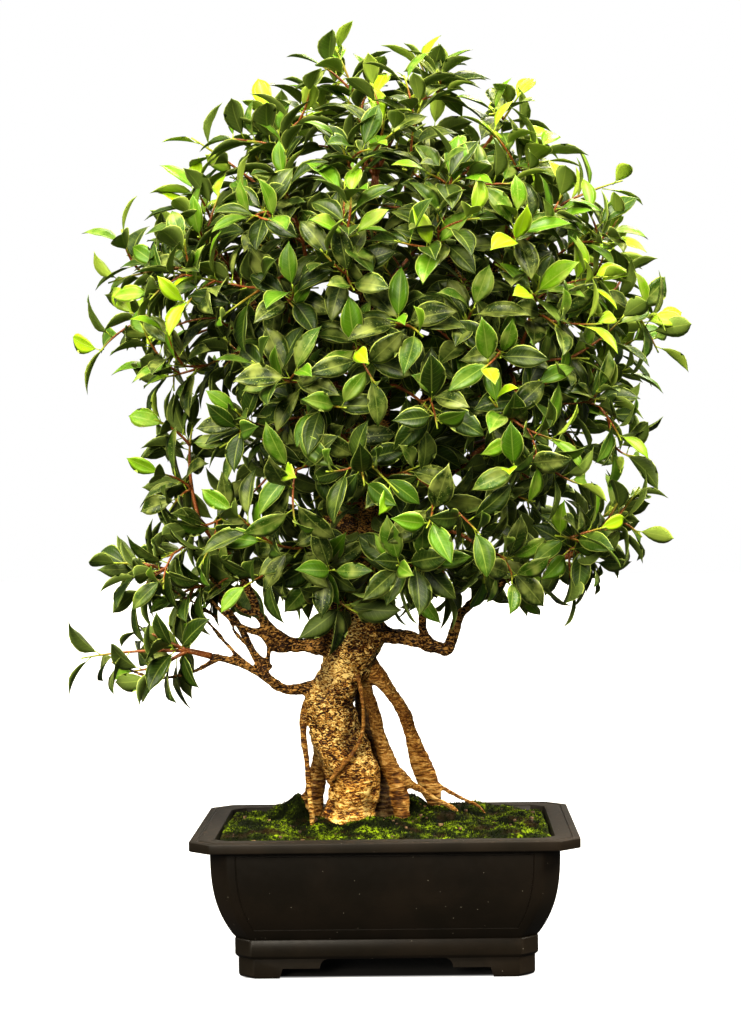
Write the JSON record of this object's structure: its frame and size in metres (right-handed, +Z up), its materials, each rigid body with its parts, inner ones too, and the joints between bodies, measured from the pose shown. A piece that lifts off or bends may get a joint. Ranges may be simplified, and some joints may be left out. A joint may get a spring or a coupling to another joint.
{
  "type": "ficus bonsai in a pot",
  "caption": "Ficus bonsai with aerial roots and a broad leafy crown, standing in a rectangular pot with cut corners and moss.",
  "frame": {"origin": "middle of the whole part's box in X and Y, at the underside of the pot's feet", "axes": "+X along the pot's long side to the right, +Y away from the front, +Z up"},
  "size_m": [0.5914, 0.4114, 0.8998],
  "materials": {
    "pot": "satin, moulded, nearly black brown",
    "screen": "matt moulded mesh",
    "soil": "crumbly potting soil",
    "moss": "soft living moss",
    "bark": "mottled tan bark",
    "leaf": "waxy green leaf"
  },
  "bodies": {
    "root": {"pot": "pot", "drain_screen_left": "screen", "drain_screen_right": "screen", "soil": "soil", "moss": "moss", "tree": "bark", "spray_01": "leaf", "spray_02": "leaf", "spray_03": "leaf", "spray_04": "leaf", "spray_05": "leaf", "spray_06": "leaf", "spray_07": "leaf", "spray_08": "leaf", "spray_09": "leaf", "spray_10": "leaf", "spray_11": "leaf", "spray_12": "leaf", "spray_13": "leaf", "spray_14": "leaf", "spray_15": "leaf", "spray_16": "leaf", "spray_17": "leaf", "spray_18": "leaf", "spray_19": "leaf", "spray_20": "leaf", "spray_21": "leaf", "spray_22": "leaf", "spray_23": "leaf", "spray_24": "leaf", "spray_25": "leaf"}
  },
  "joints": []
}
